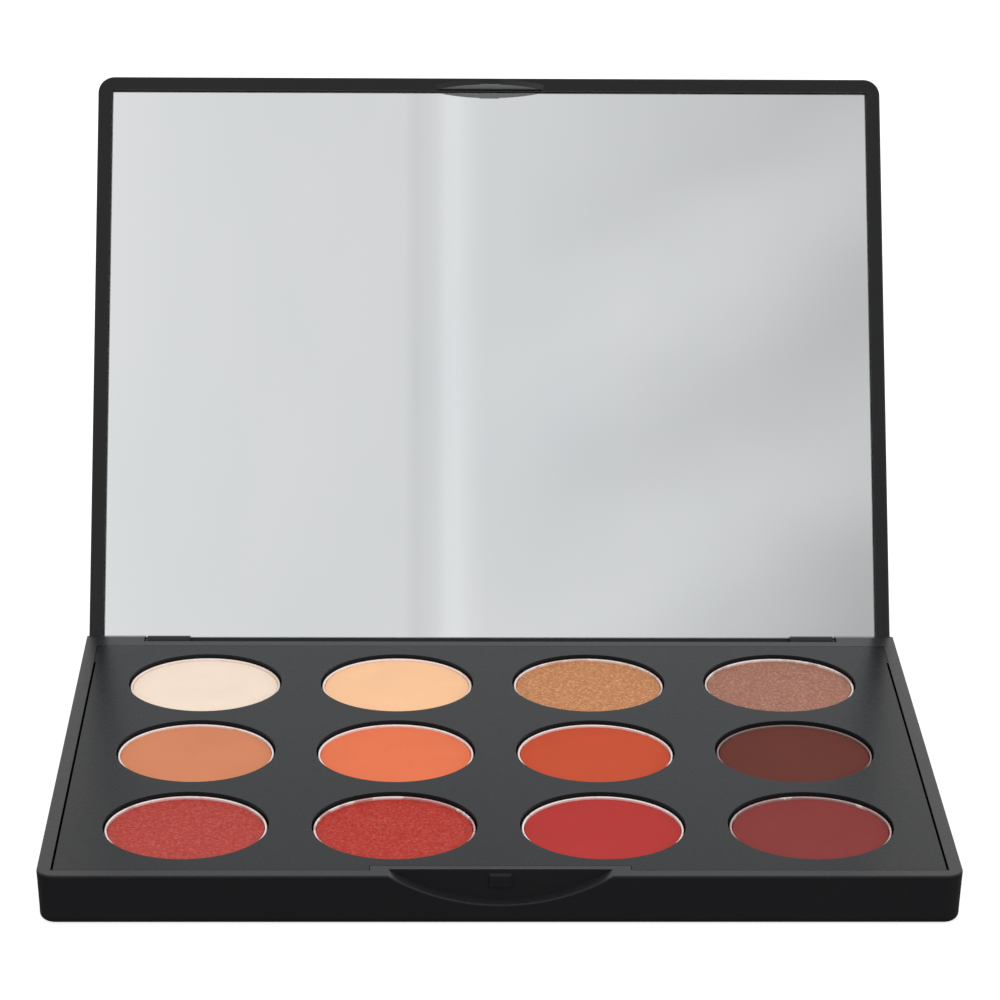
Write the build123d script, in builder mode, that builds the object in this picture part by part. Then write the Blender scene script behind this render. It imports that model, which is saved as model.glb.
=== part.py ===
from build123d import *
import os
from math import acos, atan2, cos, hypot, radians, sin, tan

os.makedirs("parts", exist_ok=True)

# A twelve-shade eyeshadow palette that stands open on a table. The base holds a tray with three rows
# of four pans, and the lid holds a mirror and turns on two short pins behind the tray.
# Millimetres. +Z is up, -Y is the front, and the origin is the centre of the base's underside.

# ---- Case ----
case_width = 144.8
case_depth = 107.8
corner_radius = 3.0  # outer corners, in plan
wall_draft = 3.0  # degrees that the outer walls lean inwards, away from the parting plane
outer_edge_radius = 1.2  # round the underside of the base and the outside of the lid
rim_edge_radius = 0.3  # where the outer walls meet the parting plane

# ---- Base ----
base_height = 8.4
base_floor = 1.4
side_rim = 2.2
front_rim = 2.3
rear_wall = 2.1

# ---- Hinge ----
open_angle = 119.5  # degrees from closed to the open stop
hinge_inset = 1.8  # axis in front of the case's back edge
hinge_drop = 2.0  # axis below the rim of the base
hinge_recess = 6.6  # room behind the rear wall for the knuckles and the spine
lug_width = 10.4  # base lug, from the side of the case
lug_slope_run = 2.7  # the lug's top starts to fall this far in front of the axis
knuckle_width = 7.7
barrel_radius = 1.15
pin_radius = 0.5
pin_in_lug = 4.4
pin_press = 0.01  # the lug's hole is this much smaller in radius than the pin
pin_play = 0.05  # the knuckle's hole is this much larger in radius than the pin
hole_end_play = 0.1
knuckle_gap = 0.3
spine_thickness = 1.2
spine_drop = 1.5  # the spine's lower edge below the axis, with the lid closed
spine_setback = 0.1
parting_gap = 0.1  # between the closed lid and the base
stop_gap = 0.05  # between the opened lid and its stop

# ---- Finger scoop and catch ----
scoop_half_width = 17.5
scoop_drop = 5.0
scoop_depth = 2.7
scoop_wall = 1.3
scoop_wall_half_width = 20.4
scoop_edge_radius = 0.25
nub_width = 3.4
nub_top = 0.7  # below the rim, at the scoop's wall
nub_shoulder = 1.1
nub_bottom = 2.9
nub_reach = 0.3
catch_gap = 0.1
tongue_half_width = 10.0
tongue_drop = 3.7
tongue_thickness = 1.0
tab_width = 3.6
tab_drop = 4.0

# ---- Tray ----
rows = ("front", "middle", "back")
columns = 4
tray_gap = 0.1
side_relief = 0.3  # the long side edges of the tray stand back this much further
side_relief_rear = 8.0  # and end this far before its back edge
side_relief_front = 0.4
tray_corner_radius = 0.8
deck_thickness = 1.2
skirt_thickness = 1.0
well_wall = 0.8
well_floor = 0.8
well_lift = 0.8  # the wells' undersides above the floor of the base
well_edge = 0.12

# ---- Pans ----
pan_diameter = 26.0
pan_wall = 0.35
pan_play = 0.3
pan_recess = 0.6  # the pans' rims below the deck
pan_foot_radius = 0.6
powder_recess = 0.3  # the powder below the pan's rim
powder_play = 0.03
powder_edge = 0.25
glue_diameter = 14.0
glue_thickness = 0.2

# ---- Lid ----
lid_floor = 2.0
frame_side = 2.5
frame_front = 2.5
frame_rear = 2.9
mirror_recess = 0.9
mirror_thickness = 1.5
mirror_play = 0.08
mirror_seam = 0.2
pocket_corner_radius = 0.3
tape_thickness = 0.2
tape_inset = 4.0

# ---- Label under the base ----
label_width = 72.0
label_depth = 40.0
label_corner_radius = 2.0
label_center_y = 24.0
label_thickness = 0.15
label_recess = 0.2
label_play = 0.3

# ---- Places that follow from those sizes ----
front_y = -case_depth / 2
back_y = case_depth / 2
hinge_y = back_y - hinge_inset
hinge_z = base_height - hinge_drop
lid_rim = hinge_drop + parting_gap  # height of the closed lid's rim above the axis
pocket_depth = mirror_recess + mirror_thickness + tape_thickness
lid_height = pocket_depth + lid_floor
lean = radians(open_angle - 90)

well_front_y = front_y + front_rim
rear_wall_back_y = back_y - hinge_recess
rear_wall_front_y = rear_wall_back_y - rear_wall
lug_inner_x = case_width / 2 - lug_width
knuckle_outer_x = lug_inner_x - knuckle_gap
knuckle_inner_x = knuckle_outer_x - knuckle_width

tray_front_y = well_front_y + tray_gap
tray_back_y = rear_wall_front_y - tray_gap
tray_width = case_width - 2 * (side_rim + tray_gap)
tray_depth = tray_back_y - tray_front_y
tray_center_y = (tray_front_y + tray_back_y) / 2

pan_hole_diameter = pan_diameter + 2 * pan_play
pitch_x = pan_hole_diameter + (tray_width - columns * pan_hole_diameter) / (columns + 1)
pitch_y = pan_hole_diameter + (tray_depth - len(rows) * pan_hole_diameter) / (len(rows) + 1)
well_bottom_z = base_floor + well_lift + well_floor
pan_bottom_z = well_bottom_z + glue_thickness
pan_rim_z = base_height - pan_recess

rim_plane = Plane.XY.offset(base_height)
front_plane = Plane(origin=(0, front_y, base_height), x_dir=(1, 0, 0), z_dir=(0, -1, 0))
# The lid is drawn as it lies when closed, on a plane through the hinge axis that is turned open:
# its X is the axis, its Y points back and its Z points up when the lid is closed.
lid_plane = Plane(origin=(0, hinge_y, hinge_z), x_dir=(1, 0, 0), z_dir=(0, cos(lean), -sin(lean)))


def opened(y, z):
    """Where a point of the closed lid, measured from the axis, lies when the lid is open."""
    point = lid_plane.from_local_coords(Vector(0, y, z))
    return point.Y, point.Z


def save(name, part):
    part.label = name
    export_step(part, f"parts/{name}.step")


# ---- Hinge outlines, looking along the axis ----
stop_front = opened(hinge_inset + stop_gap, lid_rim)
stop_rear = opened(hinge_inset + stop_gap - lid_height * tan(radians(wall_draft)), lid_rim + lid_height)
stop_slope = (stop_rear[1] - stop_front[1]) / (stop_rear[0] - stop_front[0])
shelf_z = stop_front[1]
cut_back_y = back_y + 1
cut_top_z = base_height + 1
stop_outline = [
    stop_front,
    (cut_back_y, shelf_z + stop_slope * (cut_back_y - stop_front[0])),
    (cut_back_y, cut_top_z),
]
slope_start = (hinge_y - lug_slope_run, base_height)
slope_angle = atan2(hinge_drop, -lug_slope_run) - acos(barrel_radius / hypot(lug_slope_run, hinge_drop))
slope_end = (hinge_y + barrel_radius * cos(slope_angle), hinge_z + barrel_radius * sin(slope_angle))
barrel_bottom = (hinge_y, hinge_z - barrel_radius)

# ---- Base shell: floor, walls, hinge lugs, finger scoop and catch nub ----
with BuildPart() as base_shell:
    with BuildSketch(rim_plane):
        RectangleRounded(case_width, case_depth, corner_radius)
    extrude(amount=-base_height, taper=wall_draft)
    fillet(base_shell.faces().sort_by(Axis.Z)[0].edges(), outer_edge_radius)
    fillet(base_shell.faces().sort_by(Axis.Z)[-1].edges(), rim_edge_radius)

    # Room for the tray, up to the thicker wall behind the finger scoop
    with BuildSketch(rim_plane):
        with Locations((0, (well_front_y + rear_wall_front_y) / 2)):
            Rectangle(case_width - 2 * side_rim, rear_wall_front_y - well_front_y)
        with Locations((0, front_y)):
            Rectangle(2 * scoop_wall_half_width, 2 * (scoop_depth + scoop_wall), mode=Mode.SUBTRACT)
    extrude(amount=base_floor - base_height, mode=Mode.SUBTRACT)

    # Room for the lid's knuckles and spine, over a shelf whose back slopes as the opened lid does
    with BuildSketch(Plane.YZ):
        with BuildLine():
            Polyline(
                (rear_wall_back_y, cut_top_z),
                (rear_wall_back_y, shelf_z),
                *stop_outline,
                close=True,
            )
        make_face()
    extrude(amount=lug_inner_x, both=True, mode=Mode.SUBTRACT)

    # The lugs' tops slope down to the barrels, and their backs are clear of the turning lid
    with BuildSketch(Plane.YZ):
        with BuildLine():
            Polyline((slope_start[0], cut_top_z), slope_start, slope_end)
            ThreePointArc(slope_end, (hinge_y + barrel_radius, hinge_z), barrel_bottom)
            Polyline(barrel_bottom, (hinge_y, shelf_z), *stop_outline, (slope_start[0], cut_top_z))
        make_face()
    extrude(amount=case_width, both=True, mode=Mode.SUBTRACT)

    for side in (-1, 1):
        with BuildSketch(Plane.YZ.offset(side * lug_inner_x)):
            with Locations((hinge_y, hinge_z)):
                Circle(pin_radius - pin_press)
        extrude(amount=side * (pin_in_lug + hole_end_play), mode=Mode.SUBTRACT)

    # The finger scoop is an arc, and the nub on its wall holds the closed lid's tongue
    scoop_radius = (scoop_half_width**2 + scoop_drop**2) / (2 * scoop_drop)
    with BuildSketch(front_plane.offset(1)):
        with Locations((0, scoop_radius - scoop_drop)):
            Circle(scoop_radius)
    extrude(amount=-(scoop_depth + 1), mode=Mode.SUBTRACT)
    fillet(base_shell.edges().filter_by(GeomType.ELLIPSE).sort_by(Axis.Y)[0], scoop_edge_radius)
    with BuildSketch(Plane.YZ):
        with BuildLine():
            Polyline(
                (front_y + scoop_depth + scoop_wall / 2, base_height - nub_top),
                (front_y + scoop_depth, base_height - nub_top),
                (front_y + scoop_depth - nub_reach, base_height - nub_shoulder),
                (front_y + scoop_depth - nub_reach, base_height - nub_bottom),
                (front_y + scoop_depth + scoop_wall / 2, base_height - nub_bottom),
                close=True,
            )
        make_face()
    extrude(amount=nub_width / 2, both=True)

    with BuildSketch():
        with Locations((0, label_center_y)):
            RectangleRounded(
                label_width + 2 * label_play, label_depth + 2 * label_play, label_corner_radius + label_play
            )
    extrude(amount=label_recess, mode=Mode.SUBTRACT)
save("base_shell", base_shell.part)

# ---- Tray insert: deck, skirt and twelve wells ----
with BuildSketch(rim_plane) as tray_outline:
    with Locations((0, tray_center_y)):
        RectangleRounded(tray_width, tray_depth, tray_corner_radius)
    with Locations((0, front_y)):
        Rectangle(
            2 * (scoop_wall_half_width + tray_gap),
            2 * (scoop_depth + scoop_wall + tray_gap),
            mode=Mode.SUBTRACT,
        )

with BuildSketch() as skirt_inside:
    add(tray_outline.sketch.moved(Location((0, 0, -base_height))))
    offset(amount=-skirt_thickness, kind=Kind.INTERSECTION, mode=Mode.REPLACE)

with BuildPart() as tray_hollow:
    with BuildSketch(Plane.XY.offset(base_floor)):
        add(skirt_inside.sketch)
    extrude(amount=base_height - deck_thickness - base_floor)
    with BuildSketch(Plane.XY.offset(base_floor + well_lift)):
        with Locations((0, tray_center_y)):
            with GridLocations(pitch_x, pitch_y, columns, len(rows)):
                Circle(pan_hole_diameter / 2 + well_wall)
    extrude(amount=base_height - base_floor - well_lift, mode=Mode.SUBTRACT)

with BuildPart() as tray_insert:
    with BuildSketch(Plane.XY.offset(base_floor)):
        add(tray_outline.sketch.moved(Location((0, 0, -base_height))))
    extrude(amount=base_height - base_floor)
    add(tray_hollow.part, mode=Mode.SUBTRACT)
    with BuildSketch(Plane.XY.offset(well_bottom_z)):
        with Locations((0, tray_center_y)):
            with GridLocations(pitch_x, pitch_y, columns, len(rows)):
                Circle(pan_hole_diameter / 2)
    extrude(amount=base_height - well_bottom_z, mode=Mode.SUBTRACT)
    well_rims = (
        tray_insert.faces()
        .filter_by(Plane.XY)
        .group_by(Axis.Z)[-1]
        .sort_by(SortBy.AREA)[-1]
        .inner_wires()
        .edges()
        .filter_by(GeomType.CIRCLE)
    )
    fillet(well_rims, well_edge)

    # The long sides stand back from the base's rim, except near the back
    relief_front_y = tray_front_y + side_relief_front
    relief_rear_y = tray_back_y - side_relief_rear
    with BuildSketch(rim_plane):
        with Locations((0, (relief_front_y + relief_rear_y) / 2)):
            with GridLocations(tray_width, 0, 2, 1):
                Rectangle(2 * side_relief, relief_rear_y - relief_front_y)
    extrude(amount=base_floor - base_height, mode=Mode.SUBTRACT)
save("tray_insert", tray_insert.part)


# ---- Pans, their powders and their dots of glue, one set for each well ----
def make_pan(x, y):
    with BuildPart() as pan:
        with BuildSketch(Plane.XY.offset(pan_bottom_z)):
            with Locations((x, y)):
                Circle(pan_diameter / 2)
        extrude(amount=pan_rim_z - pan_bottom_z)
        fillet(pan.faces().sort_by(Axis.Z)[0].edges(), pan_foot_radius)
        with BuildSketch(Plane.XY.offset(pan_bottom_z + pan_wall)):
            with Locations((x, y)):
                Circle(pan_diameter / 2 - pan_wall)
        extrude(amount=pan_rim_z - pan_bottom_z, mode=Mode.SUBTRACT)
        fillet(pan.faces().sort_by(Axis.Z)[-1].edges(), pan_wall / 3)
    return pan.part


def make_powder(x, y):
    with BuildPart() as powder:
        with BuildSketch(Plane.XY.offset(pan_bottom_z + pan_wall + powder_play)):
            with Locations((x, y)):
                Circle(pan_diameter / 2 - pan_wall - powder_play)
        extrude(amount=pan_rim_z - powder_recess - pan_bottom_z - pan_wall - powder_play)
        fillet(powder.faces().sort_by(Axis.Z)[-1].edges(), powder_edge)
    return powder.part


def make_glue(x, y):
    with BuildPart() as glue:
        with BuildSketch(Plane.XY.offset(well_bottom_z)):
            with Locations((x, y)):
                Circle(glue_diameter / 2)
        extrude(amount=glue_thickness)
    return glue.part


for row, row_name in enumerate(rows):
    for column in range(columns):
        pan_x = (column - (columns - 1) / 2) * pitch_x
        pan_y = tray_center_y + (row - (len(rows) - 1) / 2) * pitch_y
        place = f"{row_name}_{column + 1}"
        save(f"pan_{place}", make_pan(pan_x, pan_y))
        save(f"powder_{place}", make_powder(pan_x, pan_y))
        save(f"pan_glue_{place}", make_glue(pan_x, pan_y))

# ---- Lid shell: frame, spine, knuckles and the tongue of the catch ----
pocket_width = case_width - 2 * frame_side
pocket_front_y = front_y + frame_front - hinge_y
pocket_rear_y = back_y - frame_rear - hinge_y
pocket_center_y = (pocket_front_y + pocket_rear_y) / 2
lid_up = Axis((0, 0, 0), lid_plane.z_dir)
# Looking at the closed lid from the front and along the axis
tongue_y = front_y + scoop_depth - nub_reach - catch_gap - hinge_y
tongue_plane = Plane(
    origin=lid_plane.from_local_coords(Vector(0, tongue_y, lid_rim)),
    x_dir=lid_plane.x_dir,
    z_dir=-lid_plane.y_dir,
)
axis_plane = Plane(origin=lid_plane.origin, x_dir=lid_plane.y_dir, z_dir=lid_plane.x_dir)

with BuildPart() as lid_shell:
    with BuildSketch(lid_plane.offset(lid_rim)):
        with Locations((0, -hinge_y)):
            RectangleRounded(case_width, case_depth, corner_radius)
    extrude(amount=lid_height, taper=wall_draft)
    fillet(lid_shell.faces().sort_by(lid_up)[-1].edges(), outer_edge_radius)
    fillet(lid_shell.faces().sort_by(lid_up)[0].edges(), rim_edge_radius)
    with BuildSketch(lid_plane.offset(lid_rim)):
        with Locations((0, pocket_center_y)):
            RectangleRounded(pocket_width, pocket_rear_y - pocket_front_y, pocket_corner_radius)
    extrude(amount=pocket_depth, mode=Mode.SUBTRACT)

    # The spine closes the back of the case between the lugs
    with BuildSketch(axis_plane):
        with Locations((hinge_inset - spine_setback, -spine_drop)):
            Rectangle(spine_thickness, lid_rim + rim_edge_radius + spine_drop, align=(Align.MAX, Align.MIN))
    extrude(amount=knuckle_outer_x, both=True)
    for side in (-1, 1):
        with BuildSketch(axis_plane.offset(side * knuckle_inner_x)):
            Circle(barrel_radius)
            Rectangle(2 * barrel_radius, lid_rim + rim_edge_radius, align=(Align.CENTER, Align.MIN))
        extrude(amount=side * knuckle_width)
        with BuildSketch(axis_plane.offset(side * knuckle_inner_x)):
            Circle(pin_radius + pin_play)
        extrude(amount=side * knuckle_width, mode=Mode.SUBTRACT)

    # The tongue reaches into the finger scoop, and its tab lies in front of the nub
    tongue_radius = (tongue_half_width**2 + tongue_drop**2) / (2 * tongue_drop)
    with BuildSketch(tongue_plane):
        with Locations((0, tongue_radius - tongue_drop)):
            Circle(tongue_radius)
        Rectangle(tab_width, tab_drop, align=(Align.CENTER, Align.MAX))
        Rectangle(case_width, case_depth, align=(Align.CENTER, Align.MIN), mode=Mode.SUBTRACT)
    extrude(amount=tongue_thickness)
save("lid_shell", lid_shell.part)

# ---- Mirror and the tape that holds it ----
with BuildPart() as mirror:
    with BuildSketch(lid_plane.offset(lid_rim + mirror_recess)):
        with Locations((0, pocket_center_y)):
            Rectangle(
                pocket_width - 2 * mirror_play, pocket_rear_y - pocket_front_y - 2 * mirror_play
            )
    extrude(amount=mirror_thickness)
    chamfer(mirror.faces().sort_by(lid_up)[0].edges(), mirror_seam)
save("mirror", mirror.part)

with BuildPart() as mirror_tape:
    with BuildSketch(lid_plane.offset(lid_rim + mirror_recess + mirror_thickness)):
        with Locations((0, pocket_center_y)):
            Rectangle(pocket_width - 2 * tape_inset, pocket_rear_y - pocket_front_y - 2 * tape_inset)
    extrude(amount=tape_thickness)
save("mirror_tape", mirror_tape.part)

# ---- Hinge pins: pressed into the lugs, and free to turn in the knuckles ----
for side, side_name in ((-1, "left"), (1, "right")):
    with BuildPart() as hinge_pin:
        with BuildSketch(Plane.YZ.offset(side * (knuckle_inner_x + hole_end_play))):
            with Locations((hinge_y, hinge_z)):
                Circle(pin_radius)
        extrude(amount=side * (lug_inner_x + pin_in_lug - knuckle_inner_x - hole_end_play))
        chamfer(hinge_pin.edges().filter_by(GeomType.CIRCLE), pin_radius / 5)
    save(f"hinge_pin_{side_name}", hinge_pin.part)

# ---- Plain label, set into the underside ----
with BuildPart() as underside_label:
    with BuildSketch(Plane.XY.offset(label_recess - label_thickness)):
        with Locations((0, label_center_y)):
            RectangleRounded(label_width, label_depth, label_corner_radius)
    extrude(amount=label_thickness)
save("underside_label", underside_label.part)
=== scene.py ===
from math import cos, pi, radians, sin

import bpy
from mathutils import Matrix, Vector


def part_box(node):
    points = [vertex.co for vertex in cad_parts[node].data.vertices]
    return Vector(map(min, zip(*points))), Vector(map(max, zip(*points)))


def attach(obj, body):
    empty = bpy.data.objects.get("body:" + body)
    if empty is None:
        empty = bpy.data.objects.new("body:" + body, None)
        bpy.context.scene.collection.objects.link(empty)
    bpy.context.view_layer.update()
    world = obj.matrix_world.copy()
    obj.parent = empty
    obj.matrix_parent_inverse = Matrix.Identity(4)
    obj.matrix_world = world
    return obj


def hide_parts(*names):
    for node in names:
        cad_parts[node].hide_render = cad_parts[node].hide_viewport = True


# An open twelve-shade eyeshadow palette. The case, tray, pans and mirror come from the frame and get
# their finishes here; the pressed powders are modelled here, one for each pan.
# Metres, in the frame's own axes: +Z is up and -Y is the front.

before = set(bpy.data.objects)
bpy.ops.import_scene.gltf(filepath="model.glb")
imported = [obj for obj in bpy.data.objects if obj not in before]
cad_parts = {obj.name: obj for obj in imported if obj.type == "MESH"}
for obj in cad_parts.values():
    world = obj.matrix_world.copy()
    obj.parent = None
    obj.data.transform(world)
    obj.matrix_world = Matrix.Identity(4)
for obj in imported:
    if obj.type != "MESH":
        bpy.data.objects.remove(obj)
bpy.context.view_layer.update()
scene = bpy.context.scene
scene.view_settings.view_transform = "Standard"

MM = 0.001
ROWS = ("front", "middle", "back")
COLUMNS = (1, 2, 3, 4)


# ---- Camera ----
CAMERA_TARGET = Vector((-0.63, -53.9, 70.36)) * MM
CAMERA_DISTANCE = 613.95 * MM
CAMERA_AZIMUTH = radians(-1.148)
CAMERA_ELEVATION = radians(19.14)
CAMERA_ROLL = radians(0.483)
CAMERA_SENSOR = 36
CAMERA_LENS = 146.83
CAMERA_REACH = 20  # metres


def camera_axes():
    """The camera's right, up and back directions."""
    back = Vector(
        (
            sin(CAMERA_AZIMUTH) * cos(CAMERA_ELEVATION),
            -cos(CAMERA_AZIMUTH) * cos(CAMERA_ELEVATION),
            sin(CAMERA_ELEVATION),
        )
    )
    level = (-back).cross(Vector((0, 0, 1))).normalized()
    upright = back.cross(level)
    right = cos(CAMERA_ROLL) * level + sin(CAMERA_ROLL) * upright
    up = -sin(CAMERA_ROLL) * level + cos(CAMERA_ROLL) * upright
    return right, up, back


def add_camera():
    right, up, back = camera_axes()
    bpy.ops.object.camera_add()
    camera = bpy.context.object
    camera.name = "studio_camera"
    camera.data.lens = CAMERA_LENS
    camera.data.sensor_width = CAMERA_SENSOR
    camera.data.clip_end = CAMERA_REACH
    camera.matrix_world = (
        Matrix.Translation(CAMERA_TARGET + back * CAMERA_DISTANCE)
        @ Matrix((right, up, back)).transposed().to_4x4()
    )
    scene.camera = camera


# ---- Colours ----
def linear(red, green, blue):
    """A colour given in 0 to 255 screen values, as the linear colour that a shader takes."""
    shares = [value / 255 for value in (red, green, blue)]
    return tuple(v / 12.92 if v <= 0.04045 else ((v + 0.055) / 1.055) ** 2.4 for v in shares) + (1.0,)


def scaled(colour, factor):
    """A linear colour made lighter or darker."""
    return tuple(min(1.0, value * factor) for value in colour[:3]) + (1.0,)


# ---- Node helpers ----
class Nodes:
    """Short ways to add nodes to a tree, around one set of coordinates."""

    def __init__(self, tree, coordinates):
        self.nodes, self.links = tree.nodes, tree.links
        self.place = self.nodes.new("ShaderNodeTexCoord").outputs[coordinates]

    def join(self, output, target):
        self.links.new(output, target)

    def along(self, axis):
        """How far the coordinates go along an axis."""
        dot = self.nodes.new("ShaderNodeVectorMath")
        dot.operation = "DOT_PRODUCT"
        self.join(self.place, dot.inputs[0])
        dot.inputs[1].default_value = axis
        return dot.outputs["Value"]

    def turned(self, where, scale, turn=0.0):
        """Coordinates scaled along each axis and turned about Z."""
        mapping = self.nodes.new("ShaderNodeMapping")
        mapping.inputs["Rotation"].default_value = (0, 0, turn)
        mapping.inputs["Scale"].default_value = scale
        self.join(where, mapping.inputs["Vector"])
        return mapping.outputs["Vector"]

    def noise(self, scale, detail=2.0, roughness=0.5, where=None):
        texture = self.nodes.new("ShaderNodeTexNoise")
        texture.inputs["Scale"].default_value = scale
        texture.inputs["Detail"].default_value = detail
        texture.inputs["Roughness"].default_value = roughness
        self.join(where or self.place, texture.inputs["Vector"])
        return texture.outputs["Fac"]

    def stretch(self, value, low, high, new_low=0.0, new_high=1.0):
        """The value with low to high spread over new_low to new_high, and held there outside."""
        spread = self.nodes.new("ShaderNodeMapRange")
        spread.inputs["From Min"].default_value = low
        spread.inputs["From Max"].default_value = high
        spread.inputs["To Min"].default_value = new_low
        spread.inputs["To Max"].default_value = new_high
        self.join(value, spread.inputs["Value"])
        return spread.outputs["Result"]

    def sums(self, operation, first, second=0.0):
        node = self.nodes.new("ShaderNodeMath")
        node.operation = operation
        for socket, value in zip(node.inputs, (first, second)):
            if isinstance(value, (int, float)):
                socket.default_value = value
            else:
                self.join(value, socket)
        return node.outputs["Value"]

    def blend(self, share, first, second, kind="MIX"):
        """From the first colour to the second, as the share goes from 0 to 1."""
        mix = self.nodes.new("ShaderNodeMix")
        mix.data_type = "RGBA"
        mix.blend_type = kind
        colours = [socket for socket in mix.inputs if socket.type == "RGBA"]
        for socket, value in zip([mix.inputs["Factor"]] + colours, (share, first, second)):
            if isinstance(value, (float, tuple)):
                socket.default_value = value
            else:
                self.join(value, socket)
        return next(socket for socket in mix.outputs if socket.type == "RGBA")


class Finish(Nodes):
    """A material with one Principled shader, on the piece's own coordinates."""

    def __init__(self, name):
        self.material = bpy.data.materials.new(name)
        self.material.use_nodes = True
        super().__init__(self.material.node_tree, "Object")
        self.shader = self.nodes["Principled BSDF"]

    def set(self, **values):
        for name, value in values.items():
            self.shader.inputs[name.replace("_", " ")].default_value = value

    def cells(self, scale, output="Color"):
        texture = self.nodes.new("ShaderNodeTexVoronoi")
        texture.inputs["Scale"].default_value = scale
        self.join(self.place, texture.inputs["Vector"])
        return texture.outputs[output]

    def bumps(self, height, strength, distance, under=None):
        bump = self.nodes.new("ShaderNodeBump")
        bump.inputs["Strength"].default_value = strength
        bump.inputs["Distance"].default_value = distance
        self.join(height, bump.inputs["Height"])
        if under is not None:
            self.join(under, bump.inputs["Normal"])
        return bump.outputs["Normal"]

    def colour(self, output):
        self.join(output, self.shader.inputs["Base Color"])

    def rough(self, output):
        self.join(output, self.shader.inputs["Roughness"])

    def metal(self, output):
        self.join(output, self.shader.inputs["Metallic"])

    def normal(self, output):
        self.join(output, self.shader.inputs["Normal"])


# ---- Finishes of the case. A pattern's scale is the number of its features to a metre ----
MOULD_CLOUDS = 45
MOULD_GRAIN = 6500
MOULD_GRAIN_DEPTH = 0.02 * MM
SHEEN_PATCHES = 900
SHEEN_SPREAD = 0.02  # of roughness, either way
DUST_CELLS = 420
DUST_SEED = 0.93  # only the cells above this hold a speck
DUST_STRENGTH = 0.25


def moulded_black(name, colour, roughness, gloss):
    """Soft-touch black moulding: a fine etched grain, faint cloudiness and a few specks of dust."""
    finish = Finish(name)
    cloud = finish.stretch(finish.noise(MOULD_CLOUDS, 3), 0.3, 0.7)
    plastic = finish.blend(cloud, scaled(colour, 0.95), scaled(colour, 1.05))
    speck_place = finish.cells(DUST_CELLS, "Distance")
    rare = finish.sums("GREATER_THAN", finish.cells(DUST_CELLS), DUST_SEED)
    speck = finish.sums("MULTIPLY", finish.stretch(speck_place, 0.05, 0.02), rare)
    dust = finish.sums("MULTIPLY", speck, DUST_STRENGTH)
    finish.colour(finish.blend(dust, plastic, linear(170, 165, 160)))
    sheen = finish.noise(SHEEN_PATCHES, 2)
    finish.rough(finish.stretch(sheen, 0.3, 0.7, roughness - SHEEN_SPREAD, roughness + SHEEN_SPREAD))
    finish.normal(finish.bumps(finish.noise(MOULD_GRAIN, 3, 0.6), 0.012, MOULD_GRAIN_DEPTH))
    finish.set(Specular_IOR_Level=gloss)
    return finish.material


MIRROR_SEAM = 0.2 * MM  # the ground bevel along the mirror's edges
SEAM_ROUGHNESS = 0.6
SEAM_DULLING = 0.75  # how much less metallic the seam is than the silvered face
SMEARS = 28


def mirror_normal():
    """The direction that the opened mirror faces."""
    faces = [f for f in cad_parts["mirror"].data.polygons if f.normal.y < 0 and f.normal.z > 0]
    return max(faces, key=lambda f: f.area).normal.copy()


def mirror_glass():
    """Silvered glass: the faintest smears in its polish, and a ground seam along its edges."""
    finish = Finish("mirror_glass")
    points = [vertex.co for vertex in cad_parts["mirror"].data.vertices]
    lengthwise = Vector((1, 0, 0)).cross(mirror_normal())
    half_width = max(point.x for point in points)
    ends = [point.dot(lengthwise) for point in points]
    middle, half_length = (min(ends) + max(ends)) / 2, (max(ends) - min(ends)) / 2
    sideways = finish.sums("ABSOLUTE", finish.along((1, 0, 0)))
    endways = finish.sums("ABSOLUTE", finish.sums("SUBTRACT", finish.along(lengthwise), middle))
    seam = finish.sums(
        "MAXIMUM",
        finish.sums("GREATER_THAN", sideways, half_width - MIRROR_SEAM),
        finish.sums("GREATER_THAN", endways, half_length - MIRROR_SEAM),
    )
    wiped = finish.turned(finish.place, (1, 0.4, 0.4))
    smear = finish.stretch(finish.noise(SMEARS, 4, where=wiped), 0.45, 0.75)
    glass = finish.blend(smear, linear(243, 245, 246), linear(239, 242, 244))
    finish.colour(finish.blend(seam, glass, linear(250, 252, 252)))
    polish = finish.stretch(smear, 0, 1, 0.0, 0.015)
    finish.rough(finish.sums("MAXIMUM", polish, finish.sums("MULTIPLY", seam, SEAM_ROUGHNESS)))
    finish.metal(finish.sums("SUBTRACT", 1.0, finish.sums("MULTIPLY", seam, SEAM_DULLING)))
    return finish.material


def drawn_steel():
    """Pin wire, with the fine lines of its drawing along X."""
    finish = Finish("drawn_steel")
    lines = finish.noise(2500, 3, where=finish.turned(finish.place, (0.05, 1, 1)))
    finish.colour(finish.blend(lines, linear(60, 60, 62), linear(95, 95, 97)))
    finish.rough(finish.stretch(lines, 0.3, 0.7, 0.25, 0.4))
    finish.normal(finish.bumps(lines, 0.2, 0.01 * MM))
    finish.set(Metallic=1.0)
    return finish.material


def soft_sheet(name, grain, detail, dark, pale, strength, depth, roughness):
    """A plain non-metal sheet or drop: one fine grain in its colour and its surface."""
    finish = Finish(name)
    texture = finish.noise(grain, detail)
    finish.colour(finish.blend(texture, linear(*dark), linear(*pale)))
    finish.normal(finish.bumps(texture, strength, depth))
    finish.set(Roughness=roughness)
    return finish.material


def foam_tape():
    return soft_sheet("foam_tape", 3000, 4, (205, 203, 196), (235, 234, 228), 0.5, 0.05 * MM, 0.9)


def label_film():
    return soft_sheet("label_film", 1800, 3, (212, 211, 207), (226, 225, 222), 0.15, 0.02 * MM, 0.6)


def pan_glue():
    return soft_sheet("pan_glue", 700, 2, (205, 202, 190), (228, 226, 218), 0.4, 0.1 * MM, 0.35)


# ---- Finishes of the pans and powders ----
DUST_EDGE_CLEAN = 0.62  # the dust's patches cover what lies above this on a clean rim
DUST_EDGE_REACH = 0.45  # and this much more on a covered one
DUST_EDGE_SOFTNESS = 0.08


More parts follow.
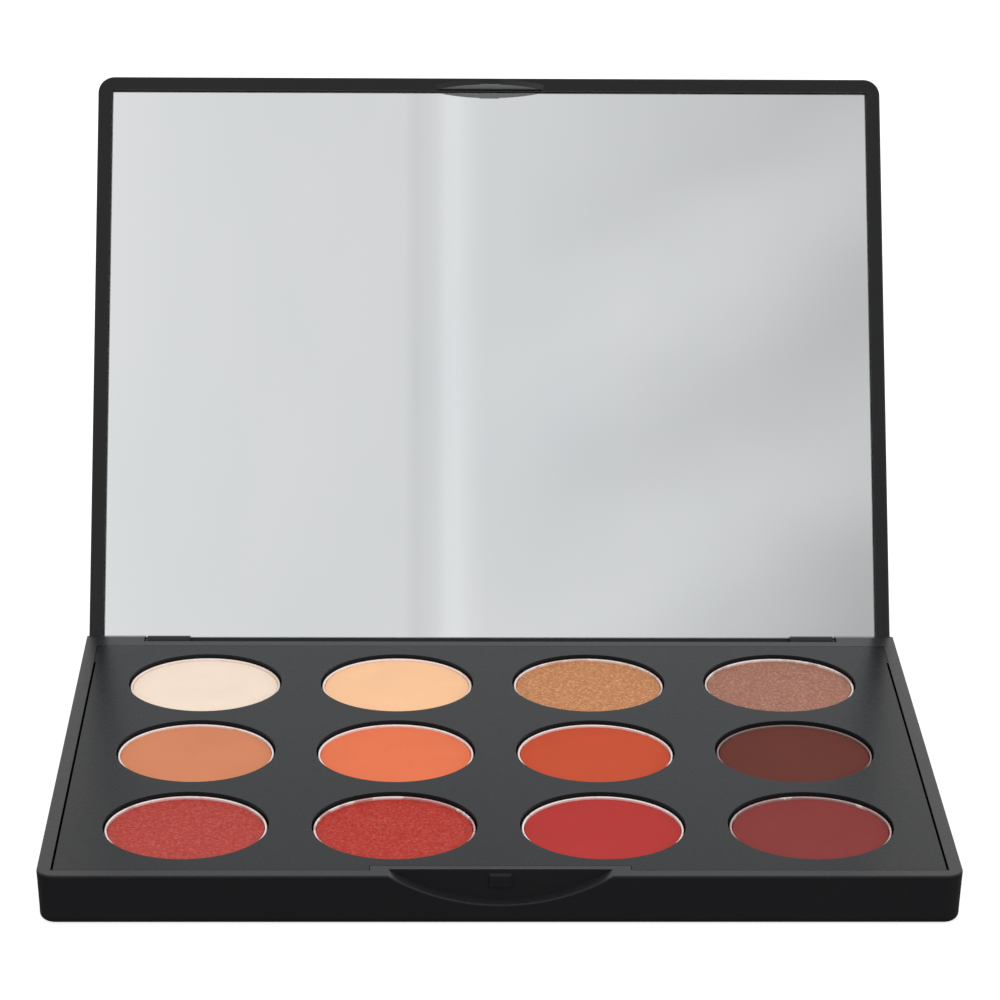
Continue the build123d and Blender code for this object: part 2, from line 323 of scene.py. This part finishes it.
def pan_tin(place, powder, cover):
    """Satin aluminium. Cover is how much of the rim the powder's dust hides, from 0 to 1."""
    finish = Finish(f"pan_tin_{place}")
    brushed = finish.noise(1500, 2)
    metal = finish.blend(brushed, linear(240, 226, 222), linear(255, 246, 243))
    edge = DUST_EDGE_CLEAN - DUST_EDGE_REACH * cover
    dusted = finish.stretch(finish.noise(260, 3, 0.6), edge, edge + DUST_EDGE_SOFTNESS)
    share = finish.sums("MULTIPLY", dusted, 0.25 + 0.7 * cover)
    finish.colour(finish.blend(share, metal, powder))
    finish.rough(finish.stretch(brushed, 0.3, 0.7, 0.3, 0.42))
    finish.normal(finish.bumps(brushed, 0.1, 0.02 * MM))
    finish.set(Metallic=0.3)
    return finish.material


POWDER_HAZE = 0.011  # what a dry surface adds to every colour
POWDER_LIGHT = 0.985  # and how much of its own colour the studio brings out


def under_haze(colour):
    """The colour to give a powder, so that it shows as this one under the haze."""
    return tuple(max(0.0, min(1.0, (value - POWDER_HAZE) / POWDER_LIGHT)) for value in colour[:3]) + (1.0,)


def matt_powder(place, colour):
    """Pressed matt powder: nearly flat colour with a dry, chalky grain."""
    colour = under_haze(colour)
    finish = Finish(f"powder_{place}")
    cloud = finish.stretch(finish.noise(130, 3), 0.3, 0.7)
    grain = finish.stretch(finish.noise(3800, 3, 0.6), 0.3, 0.7)
    mottle = finish.sums("ADD", finish.sums("MULTIPLY", cloud, 0.55), finish.sums("MULTIPLY", grain, 0.45))
    finish.colour(finish.blend(mottle, scaled(colour, 0.95), scaled(colour, 1.05)))
    pits = finish.bumps(finish.noise(5200, 3, 0.65), 0.35, 0.04 * MM)
    finish.normal(finish.bumps(finish.noise(900, 2), 0.2, 0.05 * MM, pits))
    finish.set(Roughness=0.93, Specular_IOR_Level=0.08)
    return finish.material


FLAKES = 3300
SPARKLE = 0.6  # the share of the flake colour in the brightest flakes


def shimmer_powder(place, colour, flake):
    """Pressed shimmer powder: a mottled ground full of small bright flakes."""
    colour, flake = under_haze(colour), under_haze(flake)
    finish = Finish(f"powder_{place}")
    ground = finish.stretch(finish.noise(1500, 4, 0.65), 0.32, 0.68)
    base = finish.blend(ground, scaled(colour, 0.8), scaled(colour, 1.12))
    flake_seed = finish.cells(FLAKES)
    bright = finish.stretch(flake_seed, 0.55, 0.95)
    finish.colour(finish.blend(finish.sums("MULTIPLY", bright, SPARKLE), base, flake))
    finish.rough(finish.stretch(flake_seed, 0.2, 0.9, 0.62, 0.38))
    tilt = finish.bumps(flake_seed, 0.3, 0.06 * MM)
    finish.normal(finish.bumps(finish.noise(2200, 3), 0.4, 0.08 * MM, tilt))
    finish.set(Metallic=0.25, Specular_IOR_Level=0.15)
    return finish.material


# ---- Pressed powders ----
CAKE_SIDES = 192
CAKE_SHOULDER = 0.28 * MM  # round at the edge of the cake
CAKE_SHOULDER_STEPS = 5
MATT_RELIEF, MATT_RELIEF_SIZE = 0.015 * MM, 1.1 * MM
SHIMMER_RELIEF, SHIMMER_RELIEF_SIZE = 0.05 * MM, 0.9 * MM
TURN_BETWEEN_PANS = radians(47)
SMOOTH_ANGLE = radians(40)


def powder_cake(name, radius, thickness, relief, relief_size):
    """A pressed cake centred on the origin, its face at z = 0: a face of square cells with the
    powder's own unevenness, a rounded shoulder and a straight side."""
    bpy.ops.object.select_all(action="DESELECT")
    bpy.ops.mesh.primitive_circle_add(vertices=CAKE_SIDES, radius=radius - CAKE_SHOULDER, fill_type="NOTHING")
    cake = bpy.context.object
    cake.name = name
    bpy.ops.object.mode_set(mode="EDIT")
    bpy.ops.mesh.select_all(action="SELECT")
    bpy.ops.mesh.fill_grid(span=CAKE_SIDES // 4)
    bpy.ops.mesh.subdivide(number_cuts=1)
    bpy.ops.mesh.region_to_loop()
    for step in range(CAKE_SHOULDER_STEPS):
        before, after = (0.5 * pi * (step + s) / CAKE_SHOULDER_STEPS for s in (0, 1))
        width_before, width_after = (radius - CAKE_SHOULDER * (1 - sin(a)) for a in (before, after))
        bpy.ops.mesh.extrude_edges_move(
            TRANSFORM_OT_translate={"value": (0, 0, CAKE_SHOULDER * (cos(after) - cos(before)))}
        )
        bpy.ops.transform.resize(value=(width_after / width_before, width_after / width_before, 1))
    bpy.ops.mesh.extrude_edges_move(TRANSFORM_OT_translate={"value": (0, 0, CAKE_SHOULDER - thickness)})
    bpy.ops.mesh.edge_face_add()
    bpy.ops.mesh.select_all(action="SELECT")
    bpy.ops.mesh.normals_make_consistent(inside=False)
    bpy.ops.object.mode_set(mode="OBJECT")

    face = cake.vertex_groups.new(name="face")
    on_face = [v.index for v in cake.data.vertices if v.co.z > -CAKE_SHOULDER / 2]
    face.add(on_face, 1.0, "REPLACE")
    grain = bpy.data.textures.new(name + "_grain", "CLOUDS")
    grain.noise_scale = relief_size
    grain.noise_depth = 2
    displace = cake.modifiers.new("relief", "DISPLACE")
    displace.texture = grain
    displace.texture_coords = "LOCAL"
    displace.direction = "Z"
    displace.strength = relief
    displace.mid_level = 1.0
    displace.vertex_group = "face"
    bpy.ops.object.modifier_apply(modifier="relief")
    cake.vertex_groups.clear()
    bpy.ops.object.shade_smooth_by_angle(angle=SMOOTH_ANGLE)
    return cake


def press_into_pan(cake, place, material, turn):
    """A copy of the cake in its pan, turned so that no two pans show the same unevenness."""
    low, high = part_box(f"powder_{place}")
    powder = bpy.data.objects.new(f"pressed_powder_{place}", cake.data.copy())
    scene.collection.objects.link(powder)
    face_centre = Vector(((low.x + high.x) / 2, (low.y + high.y) / 2, high.z))
    powder.data.transform(Matrix.Translation(face_centre) @ Matrix.Rotation(turn, 4, "Z"))
    powder.data.materials.clear()
    powder.data.materials.append(material)
    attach(powder, "base")
    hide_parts(f"powder_{place}")


MATT, SHIMMER = "matt", "shimmer"
# kind, powder colour, flake colour, how much dust covers the pan's rim
SHADES = {
    "back_1": (MATT, (243, 223, 205), None, 0.35),
    "back_2": (MATT, (251, 199, 157), None, 0.1),
    "back_3": (SHIMMER, (196, 132, 88), (240, 184, 128), 0.25),
    "back_4": (SHIMMER, (163, 112, 94), (198, 146, 124), 0.3),
    "middle_1": (MATT, (210, 135, 101), None, 0.05),
    "middle_2": (MATT, (230, 122, 87), None, 0.05),
    "middle_3": (MATT, (196, 86, 61), None, 0.05),
    "middle_4": (MATT, (106, 62, 56), None, 0.85),
    "front_1": (SHIMMER, (178, 64, 56), (204, 88, 76), 0.1),
    "front_2": (SHIMMER, (180, 53, 43), (205, 80, 62), 0.42),
    "front_3": (MATT, (179, 65, 63), None, 0.1),
    "front_4": (MATT, (135, 66, 64), None, 0.55),
}


def fill_pans():
    low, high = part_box("powder_front_1")
    radius = (high.x - low.x) / 2
    thickness = high.z - low.z
    cakes = {
        MATT: powder_cake("matt_cake", radius, thickness, MATT_RELIEF, MATT_RELIEF_SIZE),
        SHIMMER: powder_cake("shimmer_cake", radius, thickness, SHIMMER_RELIEF, SHIMMER_RELIEF_SIZE),
    }
    for count, (place, (kind, colour, flake, cover)) in enumerate(SHADES.items()):
        powder_colour = linear(*colour)
        if kind == MATT:
            material = matt_powder(place, powder_colour)
        else:
            material = shimmer_powder(place, powder_colour, linear(*flake))
        press_into_pan(cakes[kind], place, material, count * TURN_BETWEEN_PANS)
        paint(f"pan_{place}", pan_tin(place, powder_colour, cover))
    for cake in cakes.values():
        bpy.data.objects.remove(cake)


def paint(node, material):
    """Gives a node of the frame its finish."""
    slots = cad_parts[node].data.materials
    slots.clear()
    slots.append(material)


def paint_case():
    # Base and lid are the same soft-touch black. The base's colour is painted lighter (36 against the lid's
    # 20) as painted light, to brighten its shaded front face and rim.
    paint("base_shell", moulded_black("soft_touch_base_painted_lighter", linear(36, 36, 38), roughness=0.28, gloss=0.15))
    paint("lid_shell", moulded_black("soft_touch_lid", linear(20, 20, 22), roughness=0.3, gloss=0.3))
    paint("tray_insert", moulded_black("satin_tray", linear(26, 27, 29), roughness=0.27, gloss=0.092))
    paint("mirror", mirror_glass())
    paint("mirror_tape", foam_tape())
    steel = drawn_steel()
    paint("hinge_pin_left", steel)
    paint("hinge_pin_right", steel)
    paint("underside_label", label_film())
    glue = pan_glue()
    for row in ROWS:
        for column in COLUMNS:
            paint(f"pan_glue_{row}_{column}", glue)


# ---- Studio ----
FLOOR_SIZE = 8
FLOOR_DROP = 0.02 * MM  # below the palette's underside
FLOOR_GLOW = 0.78
GREY_DARK, GREY_PALE = (0.44, 0.44, 0.44, 1.0), (0.46, 0.46, 0.46, 1.0)
WHITE = (1.0, 1.0, 1.0, 1.0)


def lay_floor():
    """A paper floor that glows a little, so that it is as white as the backdrop."""
    bpy.ops.object.select_all(action="DESELECT")
    bpy.ops.mesh.primitive_plane_add(size=FLOOR_SIZE, location=(0, 0, -FLOOR_DROP))
    floor = bpy.context.object
    floor.name = "studio_floor"
    paper = Finish("studio_paper")
    paper.colour(paper.blend(paper.noise(900, 3), GREY_DARK, GREY_PALE))
    paper.set(Roughness=1.0, Specular_IOR_Level=0.0)
    paper.set(Emission_Color=WHITE, Emission_Strength=FLOOR_GLOW)
    floor.data.materials.append(paper.material)
    floor.visible_glossy = False
    floor.visible_diffuse = False


class Sky(Nodes):
    """The studio's light, by direction."""

    def __init__(self, world):
        world.use_nodes = True
        super().__init__(world.node_tree, "Generated")
        self.light = self.nodes["Background"]

    def ramp(self, value, low, high, stops, kind="EASE"):
        """Levels at places from low to high, as (place, level) pairs."""
        ramp = self.nodes.new("ShaderNodeValToRGB")
        ramp.color_ramp.interpolation = kind
        elements = ramp.color_ramp.elements
        while len(elements) < len(stops):
            elements.new(0.5)
        for element, (place, level) in zip(elements, stops):
            element.position = (place - low) / (high - low)
            element.color = (level, level, level, 1)
        self.join(self.stretch(value, low, high), ramp.inputs["Fac"])
        return ramp.outputs["Color"]

    def plane(self, across, upright):
        """Coordinates in a plane of two slopes."""
        join = self.nodes.new("ShaderNodeCombineXYZ")
        self.join(across, join.inputs["X"])
        self.join(upright, join.inputs["Y"])
        return join.outputs["Vector"]


STUDIO_LEVEL = 1.11
STUDIO_TINT = (0.995, 0.998, 1.0, 1.0)
# light levels by the height of a direction, and by how far it goes to the right
BY_HEIGHT = ((-0.04, 0.1), (0.06, 0.7), (0.4, 1.15), (0.8, 0.92), (1.0, 1.0))
BY_SIDE = ((-1.0, 0.86), (-0.15, 0.95), (0.15, 1.04), (1.0, 1.18))

# The wall that the opened mirror shows, by slopes across and up from the middle of that view
WALL_LEVEL = 1.11
WALL_REACH = 0.1  # slope at the wall's edges
WALL_EDGE, WALL_INSIDE = 0.955, 0.985  # cosines between which the wall takes over from the studio
CURTAIN = (
    (-0.095, 0.71), (-0.065, 0.675), (-0.03, 0.66), (-0.0235, 0.655), (-0.0205, 0.6),
    (-0.0175, 0.635), (-0.0155, 0.655), (-0.0135, 0.72), (-0.0105, 0.735), (-0.0075, 0.69),
    (-0.004, 0.655), (0.02, 0.635), (0.05, 0.595), (0.088, 0.525),
)
CLOTH = ((-0.078, 0.84), (-0.038, 1.05), (-0.006, 0.94), (0.028, 1.06), (0.056, 0.94), (0.085, 0.96))
CLOTH_SHARE = ((-0.02, 0.0), (0.045, 1.0), (0.1, 1.3))  # none on the left
CLOTH_SLANT = 0.57
CLOTH_TURN = radians(30)
CLOTH_STRETCH = (14, 30, 1)
CLOTH_DRIFT = 0.03


def overhead_light(sky):
    """Soft light from above over a dark floor level, a little stronger on the right."""
    by_height = sky.ramp(sky.along((0, 0, 1)), -1, 1, BY_HEIGHT, "LINEAR")
    by_side = sky.ramp(sky.along((1, 0, 0)), -1, 1, BY_SIDE)
    return sky.sums("MULTIPLY", sky.sums("MULTIPLY", by_height, by_side), STUDIO_LEVEL)


def mirrored_wall(sky, wall_right, wall_up, ahead):
    """A curtain with an upright fold on its left and cloudy, slanting cloth on its right."""
    across = sky.sums("DIVIDE", sky.along(wall_right), ahead)
    upright = sky.sums("DIVIDE", sky.along(wall_up), ahead)
    fold = sky.ramp(across, -WALL_REACH, WALL_REACH, CURTAIN, "LINEAR")
    patches = sky.noise(1.0, 1.0, where=sky.turned(sky.plane(across, upright), CLOTH_STRETCH, CLOTH_TURN))
    drift = sky.sums("MULTIPLY", sky.sums("SUBTRACT", patches, 0.5), CLOTH_DRIFT)
    slant = sky.sums("SUBTRACT", upright, sky.sums("MULTIPLY", across, CLOTH_SLANT))
    cloth = sky.ramp(sky.sums("ADD", slant, drift), -WALL_REACH, WALL_REACH, CLOTH)
    share = sky.ramp(across, -WALL_REACH, WALL_REACH, CLOTH_SHARE)
    ripple = sky.sums("MULTIPLY", sky.sums("SUBTRACT", cloth, 1.0), share)
    wall = sky.sums("MULTIPLY", fold, sky.sums("ADD", ripple, 1.0))
    return sky.sums("MULTIPLY", wall, WALL_LEVEL)


def light_studio():
    world = bpy.data.worlds.new("studio_light")
    scene.world = world
    sky = Sky(world)
    # The axes of the view that the camera has in the mirror
    facing = mirror_normal()
    wall_right, wall_up, wall_out = (axis.reflect(facing) for axis in camera_axes())
    ahead = sky.along(-wall_out)
    in_wall = sky.ramp(ahead, 0.9, 1.0, ((WALL_EDGE, 0.0), (WALL_INSIDE, 1.0)))
    light = sky.blend(in_wall, overhead_light(sky), mirrored_wall(sky, wall_right, wall_up, ahead))
    sky.join(sky.blend(1.0, light, STUDIO_TINT, "MULTIPLY"), sky.light.inputs["Color"])


add_camera()
light_studio()
lay_floor()
paint_case()
fill_pans()
